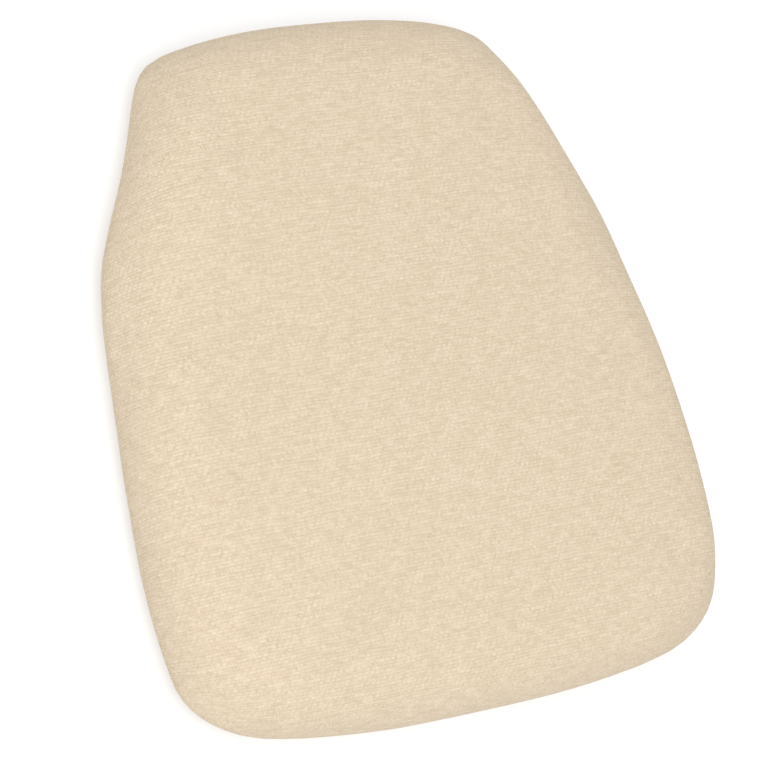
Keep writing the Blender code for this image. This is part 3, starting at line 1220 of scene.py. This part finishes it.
@dataclass
class Filling:
    """The foam core and the fibre wrap over it."""

    outline: Outline
    wrap_depth: float = 2.8 * MM
    foam_depth: float = 6.8 * MM
    lump: float = 0.6 * MM

    def foam(self) -> bpy.types.Object:
        """The foam block, with a flat underside on the board.

        Returns:
            The foam, as one closed piece.
        """
        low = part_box(Layer.FOAM.value)[0][2]
        profile = Profile(self.outline, depth=self.foam_depth)
        made = PadForm(Drape(self.outline)).closed("foam_block", profile, low, upright=True)
        made.data.materials.append(CellFoam().material())
        return made

    def wrap(self) -> bpy.types.Object:
        """The fibre wrap: an uneven soft sheet over the foam, lapped over the board's edge.

        Returns:
            The wrap, as one closed piece.
        """
        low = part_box(Layer.WRAP.value)[0][2]
        outer = Profile(self.outline, depth=self.wrap_depth)
        inner = Profile(self.outline, depth=self.foam_depth - 0.3 * MM)
        form = PadForm(Drape(self.outline))
        side = [
            (self.wrap_depth + 0.8 * MM, low, 0.0),
            (self.wrap_depth + 0.3 * MM, (low + outer.fullest) / 2, 0.0),
        ]
        skin = form.loops(outer, side + outer.roll(form.roll_steps))
        lining = form.loops(inner, [(inner.depth, low, 0.0)] + inner.roll(form.roll_steps))
        outer_points, outer_faces = self._dome(skin)
        inner_points, inner_faces = self._dome(lining)
        start, count = len(outer_points), len(skin[0])
        faces = outer_faces + [tuple(start + i for i in f) for f in inner_faces]
        faces += [(i, (i + 1) % count, start + (i + 1) % count, start + i) for i in range(count)]
        outer_points = self._lumpy(outer_points)
        made = Shapes.new("fibre_batt", np.vstack([outer_points, inner_points]), faces)
        Shapes.outward(made)
        made.data.materials.append(FibreBatt().material())
        return made

    @staticmethod
    def _dome(loops: Sequence[np.ndarray]) -> tuple[np.ndarray, list[tuple[int, ...]]]:
        """Points and faces of an open dome through the loops, closed at the top.

        Args:
            loops: Rings from the rim up.

        Returns:
            Points and faces.
        """
        top = loops[-1][:, 2].max()
        points, faces = Shapes.stack(loops)
        count, last = len(loops[0]), len(points) - len(loops[0])
        faces += [(last + i, last + (i + 1) % count, len(points)) for i in range(count)]
        return np.vstack([points, (0.0, 0.0, top)]), faces

    def _lumpy(self, points: np.ndarray) -> np.ndarray:
        """The points drawn in a little, unevenly, as loose fibre settles.

        Args:
            points: Points of the outer face.

        Returns:
            The moved points.
        """
        made = points.copy()
        x, y, z = points.T
        swell = np.sin(x * 95 + 1.3 * np.sin(y * 60)) * np.sin(y * 83 + 1.1 * np.sin(x * 71))
        made[:, 2] -= self.lump * (0.5 + 0.5 * swell) * (z > self.outline.height)
        return made


@dataclass
class DustCover:
    """Spun-bonded cloth that closes the underside, turned in at its edge and stapled."""

    outline: Outline
    inset: float = 15.0 * MM
    turn_in: float = 10.0 * MM
    relief: float = 0.22 * MM
    slack: float = 0.12 * MM
    rings: int = 34

    def build(self) -> bpy.types.Object:
        """Make the sheet and return it.

        Returns:
            The sheet, as one closed piece.
        """
        low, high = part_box(Layer.DUST.value)
        edge = self.outline.inset(self.inset)
        shares = [1 - i / self.rings for i in range(self.rings)]
        lower = [self._loop(edge * share, low[2], True) for share in shares]
        upper = [self._loop(edge * share, high[2], False) for share in reversed(shares)]
        points, faces = Shapes.stack([*reversed(lower), *reversed(upper)])
        count = len(edge)
        bottom, top = len(points), len(points) + 1
        last = len(points) - count
        points = np.vstack([points, (0.0, 0.0, low[2] + self.relief), (0.0, 0.0, high[2])])
        faces += [(bottom, (i + 1) % count, i) for i in range(count)]
        faces += [(last + i, last + (i + 1) % count, top) for i in range(count)]
        made = Shapes.new("spun_dust_cover", points, faces)
        Shapes.outward(made)
        made.data.set_sharp_from_angle(angle=math.radians(40))
        made.data.materials.append(SpunBond().material())
        self.area = 0.5 * abs(float(np.sum(np.cross(edge, np.roll(edge, -1, axis=0)))))
        self.flat = tuple(float(side) for side in np.ptp(edge, axis=0))
        return made

    def _loop(self, plan: np.ndarray, height: float, below: bool) -> np.ndarray:
        """One loop of the sheet, with the step of its turned-in edge and a little slack.

        Args:
            plan: A ring in plan.
            height: Height of the ring.
            below: Whether the ring is on the lower face.

        Returns:
            The ring in space.
        """
        x, y = plan.T
        inside = self.outline.locate(plan)[0] - self.inset
        step = 1 / (1 + np.exp(-(inside - self.turn_in) / (0.5 * MM)))
        ripple = np.sin(x * 61 + 2 * np.sin(y * 23)) * np.sin(y * 53 + np.sin(x * 31))
        if below:
            shift = (self.relief + self.slack * (1 + ripple)) * step
        else:
            shift = 0.5 * self.slack * (ripple - 1) * step
        return np.column_stack([plan, height + shift])


class ScatterTree:
    """A Geometry Nodes tree in the making."""

    def __init__(self, name: str) -> None:
        """Start a tree with its input and output nodes.

        Args:
            name: Name of the node group.
        """
        self.tree = bpy.data.node_groups.new(name, "GeometryNodeTree")
        self.keys: dict[str, str] = {}
        self.entry = self.tree.nodes.new("NodeGroupInput")
        self.exit = self.tree.nodes.new("NodeGroupOutput")
        face = self.tree.interface
        face.new_socket(name="Geometry", in_out="OUTPUT", socket_type="NodeSocketGeometry")

    def take(self, name: str, kind: str) -> bpy.types.NodeSocket:
        """Add a named input of a socket type and return it.

        Args:
            name: Name of the input.
            kind: Its socket type.

        Returns:
            The socket that gives the value.
        """
        made = self.tree.interface.new_socket(name=name, in_out="INPUT", socket_type=kind)
        self.keys[name] = made.identifier
        return next(s for s in self.entry.outputs if s.identifier == made.identifier)

    def node(self, kind: str, settings: Mapping[str, object], values: Mapping) -> bpy.types.Node:
        """Add a node, with its settings and its inputs' values or links.

        Args:
            kind: Node type.
            settings: Properties of the node.
            values: Values or links by input.

        Returns:
            The new node.
        """
        made = self.tree.nodes.new(kind)
        for key, value in settings.items():
            setattr(made, key, value)
        for key, value in values.items():
            if isinstance(value, bpy.types.NodeSocket):
                self.tree.links.new(value, made.inputs[key])
            else:
                made.inputs[key].default_value = value
        return made

    def close(self, instances: bpy.types.NodeSocket, material: bpy.types.Material) -> None:
        """End the tree in real geometry with its material.

        Args:
            instances: The placed instances.
            material: Material of the result.
        """
        real = self.node("GeometryNodeRealizeInstances", {}, {"Geometry": instances})
        values = {"Geometry": real.outputs[0], "Material": material}
        dressed = self.node("GeometryNodeSetMaterial", {}, values)
        self.tree.links.new(dressed.outputs[0], self.exit.inputs[0])

    def run(self, carrier: bpy.types.Object, name: str, values: Mapping[str, object]) -> bpy.types.Object:
        """Run the tree on a carrier object and return the result as a plain mesh.

        Args:
            carrier: Object that carries the modifier.
            name: Name of the result.
            values: Values by input name.

        Returns:
            The plain mesh that the group makes.
        """
        modifier = carrier.modifiers.new(name, "NODES")
        modifier.node_group = self.tree
        for key, value in values.items():
            modifier[self.keys[key]] = value
        return Shapes.bake(carrier, name)


@dataclass
class Staples:
    """The two rows of bent wire staples."""

    width: float = 10.0 * MM
    leg: float = 8.0 * MM
    wire: float = 0.6 * MM
    bend: float = 0.55 * MM
    bend_steps: int = 5

    def build(self) -> dict[Row, bpy.types.Object]:
        """Make one piece for each row, with a staple at each of its solids' places.

        Returns:
            The two rows, as one piece each.
        """
        single = self._single()
        material = StapleWire().material()
        tree = self._tree(material)
        made = {row: self._row(row, tree, single) for row in Row}
        bpy.data.objects.remove(single, do_unlink=True)
        return made

    @staticmethod
    def names(row: Row) -> list[str]:
        """The names of a row's solids."""
        return sorted(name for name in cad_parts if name.startswith(row.value))

    def _single(self) -> bpy.types.Object:
        """One staple: a flat wire swept along a U with rounded bends, its crown lowest.

        Returns:
            The staple, for use as an instance.
        """
        half = self.width / 2 - self.wire / 2
        base = self.wire / 2
        path = [(-half, self.leg)]
        for side, start in ((-1, math.pi), (1, 1.5 * math.pi)):
            for i in range(self.bend_steps + 1):
                angle = start + math.pi / 2 * i / self.bend_steps
                x = side * (half - self.bend) + self.bend * math.cos(angle)
                path.append((x, base + self.bend + self.bend * math.sin(angle)))
        path.append((half, self.leg))
        track = np.array(path)
        along = np.gradient(track, axis=0)
        along /= np.hypot(*along.T)[:, None]
        across = np.column_stack([-along[:, 1], along[:, 0]])
        loops = [self._section(track[i], across[i]) for i in range(len(track))]
        points, faces = Shapes.stack(loops)
        sides, last = len(loops[0]), len(points) - len(loops[0])
        faces += [tuple(reversed(range(sides))), tuple(last + i for i in range(sides))]
        made = Shapes.new("single_staple", points, faces)
        Shapes.outward(made)
        made.data.set_sharp_from_angle(angle=math.radians(50))
        return made

    def _section(self, spot: np.ndarray, across: np.ndarray) -> np.ndarray:
        """The wire's cross-section at a spot: a square with broken corners.

        Args:
            spot: Centre of the section in the staple's plane.
            across: Unit vector across the wire in that plane.

        Returns:
            The corners of the section.
        """
        half, broken = self.wire / 2, self.wire / 2 * 0.65
        outline = [(half, -broken), (half, broken), (broken, half), (-broken, half)]
        outline += [(-half, broken), (-half, -broken), (-broken, -half), (broken, -half)]
        rows = [(spot[0] + across[0] * a, b, spot[1] + across[1] * a) for a, b in outline]
        return np.array(rows)

    def _tree(self, material: bpy.types.Material) -> ScatterTree:
        """The tree that puts a staple at each point, turned by the point's heading.

        Args:
            material: Material of the wire.

        Returns:
            The node group.
        """
        scatter = ScatterTree("staple_row")
        points = scatter.take("Places", "NodeSocketGeometry")
        piece = scatter.take("Staple", "NodeSocketObject")
        heading = scatter.node(
            "GeometryNodeInputNamedAttribute", {"data_type": "FLOAT"}, {"Name": "heading"}
        )
        turn = scatter.node("ShaderNodeCombineXYZ", {}, {"Z": heading.outputs["Attribute"]})
        single = scatter.node("GeometryNodeObjectInfo", {}, {"Object": piece})
        spread = scatter.node(
            "GeometryNodeInstanceOnPoints",
            {},
            {"Points": points, "Instance": single.outputs["Geometry"], "Rotation": turn.outputs[0]},
        )
        scatter.close(spread.outputs[0], material)
        return scatter

    def _row(self, row: Row, scatter: ScatterTree, single: bpy.types.Object) -> bpy.types.Object:
        """One row of staples, at its solids' places and headings.

        Args:
            row: Which row.
            scatter: The node group.
            single: The staple to repeat.

        Returns:
            The row, as one piece.
        """
        spots, headings = [], []
        for name in self.names(row):
            corners = Shapes.coordinates(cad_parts[name].data)
            middle = (corners.min(axis=0) + corners.max(axis=0)) / 2
            spread = corners[:, :2] - middle[:2]
            far = spread[np.hypot(*spread.T).argmax()]
            crown = spread[abs(spread @ far) > 0.5 * float(far @ far)]
            crown *= np.sign(crown @ far)[:, None]
            headings.append(math.atan2(*crown.mean(axis=0)[::-1]))
            spots.append((middle[0], middle[1], corners[:, 2].min()))
        carrier = Shapes.new(row.value + "_places", np.array(spots), [])
        attribute = carrier.data.attributes.new("heading", "FLOAT", "POINT")
        attribute.data.foreach_set("value", np.array(headings, np.float32))
        return scatter.run(carrier, row.value + "s", {"Staple": single})


@dataclass
class HookStrips:
    """Four strips of hook tape: a woven back and a bed of small bent hooks."""

    back: float = 0.7 * MM
    edge: float = 1.2 * MM
    corner: float = 1.5 * MM
    hook_radius: float = 0.11 * MM
    hook_bend: float = 0.34 * MM
    column_pitch: float = 1.45 * MM
    row_pitch: float = 1.75 * MM
    jitter: float = 0.16 * MM
    seed: int = 7

    def build(self) -> dict[str, tuple[bpy.types.Object, bpy.types.Object]]:
        """Make each strip's back and its hooks, by the name of its solid.

        Returns:
            Tape and hooks by the name of the strip's solid.
        """
        single = self._hook()
        tape, nylon = WovenTape().material(), MouldedPlastic().material()
        scatter = self._tree(nylon)
        made = {}
        for number, name in enumerate(sorted(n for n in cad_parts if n.startswith("hook_strip"))):
            low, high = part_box(name)
            back = self._back(name, Vector(low), Vector(high))
            back.data.materials.append(tape)
            made[name] = (back, self._bed(name, Vector(low), Vector(high), scatter, single, number))
        bpy.data.objects.remove(single, do_unlink=True)
        return made

    def _back(self, name: str, low: Vector, high: Vector) -> bpy.types.Object:
        """The woven back of a strip, with rounded corners and a raised selvedge.

        Args:
            name: Name of the piece.
            low: Low corner of the strip's box.
            high: Its high corner.

        Returns:
            The tape, as one closed piece.
        """
        middle = (low + high) / 2
        half_x, half_y = (high.x - low.x) / 2, (high.y - low.y) / 2
        loops = []
        heights = (
            (1.0, high.z),
            (0.0, high.z - 0.25 * self.back),
            (0.0, high.z - self.back - 0.15 * MM),
            (self.edge, high.z - self.back - 0.15 * MM),
            (self.edge + 0.5 * MM, high.z - self.back),
        )
        for inset, height in heights:
            drawn = 0.15 * MM if inset == 1.0 else inset
            plan = self._rounded(half_x - drawn, half_y - drawn)
            loops.append(np.column_stack([plan + np.array(middle.xy), np.full(len(plan), height)]))
        points, faces = Shapes.stack(loops)
        count, last = len(loops[0]), len(points) - len(loops[0])
        faces += [tuple(reversed(range(count))), tuple(last + i for i in range(count))]
        made = Shapes.new(name.replace("hook_strip", "hook_tape"), points, faces)
        Shapes.outward(made)
        made.data.set_sharp_from_angle(angle=math.radians(35))
        return made

    def _rounded(self, half_x: float, half_y: float) -> np.ndarray:
        """A rectangle with rounded corners, as points in plan.

        Args:
            half_x: Half of the width.
            half_y: Half of the length.

        Returns:
            The ring in plan.
        """
        plan = []
        for quarter, (sx, sy) in enumerate(((1, 1), (-1, 1), (-1, -1), (1, -1))):
            for i in range(5):
                angle = math.pi / 2 * (quarter + i / 4)
                x = sx * (half_x - self.corner) + self.corner * math.cos(angle)
                y = sy * (half_y - self.corner) + self.corner * math.sin(angle)
                plan.append((x, y))
        return np.array(plan)

    def _hook(self) -> bpy.types.Object:
        """One hook: a thin stem that stands down from the tape and bends back on itself.

        Returns:
            The hook, for use as an instance.
        """
        stem = 0.80 * MM
        track = [(0.0, 0.0), (0.0, -0.5 * stem), (0.0, -stem)]
        for i in range(1, 6):
            angle = math.pi * 0.95 * i / 5
            x = self.hook_bend * (1 - math.cos(angle))
            track.append((x, -stem - self.hook_bend * math.sin(angle)))
        path = np.array(track)
        along = np.gradient(path, axis=0)
        along /= np.hypot(*along.T)[:, None]
        across = np.column_stack([-along[:, 1], along[:, 0]])
        loops = []
        for i, (x, z) in enumerate(path):
            radius = self.hook_radius * (1.5 if i == 0 else 1.0)
            ring = []
            for k in range(4):
                a = math.pi / 2 * k
                shift = radius * math.cos(a)
                ring.append((x + across[i, 0] * shift, radius * math.sin(a), z + across[i, 1] * shift))
            loops.append(np.array(ring))
        points, faces = Shapes.stack(loops)
        last = len(points) - 4
        faces += [(3, 2, 1, 0), (last, last + 1, last + 2, last + 3)]
        made = Shapes.new("single_hook", points, faces)
        Shapes.outward(made)
        return made

    def _tree(self, material: bpy.types.Material) -> ScatterTree:
        """The tree that stands hooks on a grid, each a little off its place and turned.

        Args:
            material: Material of the hooks.

        Returns:
            The node group.
        """
        scatter = ScatterTree("hook_bed")
        take = scatter.take
        width, length = take("Width", "NodeSocketFloat"), take("Length", "NodeSocketFloat")
        columns, rows = take("Columns", "NodeSocketInt"), take("Rows", "NodeSocketInt")
        centre, jitter = take("Centre", "NodeSocketVector"), take("Jitter", "NodeSocketFloat")
        seed, piece = take("Seed", "NodeSocketInt"), take("Hook", "NodeSocketObject")
        grid = scatter.node(
            "GeometryNodeMeshGrid",
            {},
            {"Size X": width, "Size Y": length, "Vertices X": columns, "Vertices Y": rows},
        )
        vector = {"data_type": "FLOAT_VECTOR"}
        loose = scatter.node(
            "FunctionNodeRandomValue", vector, {0: (-1.0, -1.0, 0.0), 1: (1.0, 1.0, 0.0), "Seed": seed}
        )
        shaken = scatter.node(
            "ShaderNodeVectorMath", {"operation": "SCALE"}, {0: loose.outputs[0], "Scale": jitter}
        )
        shift = scatter.node(
            "ShaderNodeVectorMath", {"operation": "ADD"}, {0: shaken.outputs[0], 1: centre}
        )
        placed = scatter.node(
            "GeometryNodeSetPosition", {}, {"Geometry": grid.outputs["Mesh"], "Offset": shift.outputs[0]}
        )
        turn = scatter.node(
            "FunctionNodeRandomValue",
            vector,
            {0: (-0.12, -0.12, 1.2), 1: (0.12, 0.12, 1.9), "Seed": seed},
        )
        single = scatter.node("GeometryNodeObjectInfo", {}, {"Object": piece})
        spread = scatter.node(
            "GeometryNodeInstanceOnPoints",
            {},
            {
                "Points": placed.outputs[0],
                "Instance": single.outputs["Geometry"],
                "Rotation": turn.outputs[0],
            },
        )
        scatter.close(spread.outputs[0], material)
        return scatter

    def _bed(
        self,
        name: str,
        low: Vector,
        high: Vector,
        scatter: ScatterTree,
        single: bpy.types.Object,
        number: int,
    ) -> bpy.types.Object:
        """The hooks of one strip.

        Args:
            name: Name of the piece.
            low: Low corner of the strip's box.
            high: Its high corner.
            scatter: The node group.
            single: The hook to repeat.
            number: Number of the strip, which seeds the turns.

        Returns:
            The hooks, as one piece.
        """
        width = high.x - low.x - 2 * self.edge - 1.6 * MM
        length = high.y - low.y - 2 * self.edge - 1.6 * MM
        middle = (low + high) / 2
        carrier = Shapes.new(name + "_places", np.zeros((1, 3)), [])
        values = {
            "Width": width,
            "Length": length,
            "Columns": round(width / self.column_pitch) + 1,
            "Rows": round(length / self.row_pitch) + 1,
            "Centre": (middle.x, middle.y, high.z - self.back),
            "Jitter": self.jitter,
            "Seed": self.seed + number,
            "Hook": single,
        }
        return scatter.run(carrier, name.replace("hook_strip", "hooks"), values)


# ---------------------------------------------------------------- studio


@dataclass
class Studio:
    """A pale floor, soft light and the camera."""

    azimuth: float = -78.05
    elevation: float = 53.23
    tilt: float = 66.46
    distance: float = 2.2676
    aim: Spot = (-12.1 * MM, -10.8 * MM, 20.0 * MM)
    lens: float = 186.8
    floor_size: float = 6.0
    floor_tone: float = 0.45
    floor_glow: float = 0.55
    sky: float = 0.64
    key: Spot = (-0.97, -0.78, 2.33)
    key_size: float = 1.8
    key_power: float = 40.5
    fill: Spot = (0.4, 1.5, 2.4)
    fill_size: float = 2.2
    fill_power: float = 9.0

    def camera(self) -> None:
        """Add the camera."""
        azimuth, elevation = math.radians(self.azimuth), math.radians(self.elevation)
        level = math.cos(elevation)
        back = Vector((math.sin(azimuth) * level, -math.cos(azimuth) * level, math.sin(elevation)))
        right = Vector((math.cos(azimuth), math.sin(azimuth), 0.0))
        turned = Matrix((right, back.cross(right), back)).transposed().to_4x4()
        data = bpy.data.cameras.new("camera")
        data.lens = self.lens
        data.sensor_width = 36.0
        data.clip_start, data.clip_end = 0.05, 50.0
        made = bpy.data.objects.new("camera", data)
        place = Matrix.Translation(Vector(self.aim) + back * self.distance)
        made.matrix_world = place @ turned @ Matrix.Rotation(math.radians(self.tilt), 4, "Z")
        bpy.context.scene.collection.objects.link(made)
        bpy.context.scene.camera = made

    def floor(self) -> None:
        """Add the floor just under the pad, lit a little from within so that shadows stay pale."""
        half = self.floor_size / 2
        corners = [(-half, -half, 0.0), (half, -half, 0.0), (half, half, 0.0), (-half, half, 0.0)]
        made = Shapes.new("floor", np.array(corners) - (0, 0, 0.1 * MM), [(0, 1, 2, 3)])
        graph = Graph("floor")
        tone = (self.floor_tone,) * 3
        made.data.materials.append(
            graph.finish(
                Base_Color=tone,
                Roughness=0.9,
                Specular_IOR_Level=0.0,
                Emission_Color=(1.0, 1.0, 1.0),
                Emission_Strength=self.floor_glow,
            )
        )

    def lights(self) -> None:
        """Add an even sky, a broad key light from the front left and a weak fill."""
        world = bpy.data.worlds.new("studio")
        bpy.context.scene.world = world
        world.use_nodes = True
        sky = world.node_tree.nodes["Background"]
        sky.inputs["Color"].default_value = (1.0, 1.0, 1.0, 1.0)
        sky.inputs["Strength"].default_value = self.sky
        self._panel("key", self.key, self.key_size, self.key_power)
        self._panel("fill", self.fill, self.fill_size, self.fill_power)

    @staticmethod
    def _panel(name: str, spot: Spot, size: float, power: float) -> None:
        """A square light panel that faces the pad.

        Args:
            name: Name of the light.
            spot: Its place.
            size: Length of a side, in metres.
            power: Power in watts.
        """
        data = bpy.data.lights.new(name, "AREA")
        data.shape = "SQUARE"
        data.size = size
        data.energy = power
        made = bpy.data.objects.new(name, data)
        made.location = spot
        made.rotation_euler = (-Vector(spot)).to_track_quat("-Z", "Y").to_euler()
        bpy.context.scene.collection.objects.link(made)

    def build(self) -> None:
        """Build the studio, with colours shown as they are."""
        self.camera()
        self.floor()
        self.lights()
        bpy.context.scene.view_settings.view_transform = "Standard"


# ---------------------------------------------------------------- the pad


def register(piece: bpy.types.Object, slot: str, *nodes: str) -> None:
    """Put a piece on the body, hide the solids that it stands for, and log it with their names.

    Args:
        piece: The piece.
        slot: Name of its finish; not used.
        nodes: CAD solids that it stands for.
    """
    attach(piece, BODY)
    if nodes:
        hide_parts(*nodes)
    log.info("%s: %d points, stands for %s", piece.name, len(piece.data.vertices), nodes or "none")


def dress_board() -> None:
    """Give the board, whose solid is already its shape, its plywood."""
    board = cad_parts[Layer.BOARD.value]
    board.data.materials.clear()
    board.data.materials.append(BirchPly().material())


def main() -> None:
    """Build the studio and every piece of the pad, in order."""
    logging.basicConfig(level=logging.INFO, format="%(name)s: %(message)s")
    Studio().build()
    outline = Outline()
    cover = Cover(outline).build()
    register(cover, "cover_fabric", Layer.COVER.value)
    filling = Filling(outline)
    wrap = filling.wrap()
    register(wrap, "white_fibre", Layer.WRAP.value)
    foam = filling.foam()
    register(foam, "foam", Layer.FOAM.value)
    dress_board()
    dust = DustCover(outline)
    sheet = dust.build()
    register(sheet, "black_nonwoven", Layer.DUST.value)
    for row, piece in Staples().build().items():
        register(piece, "staple_steel", *Staples.names(row))
    for name, (back, hooks) in HookStrips().build().items():
        register(back, "hook_tape", name)
        register(hooks, "hook_tape")


if __name__ == "__main__":
    main()
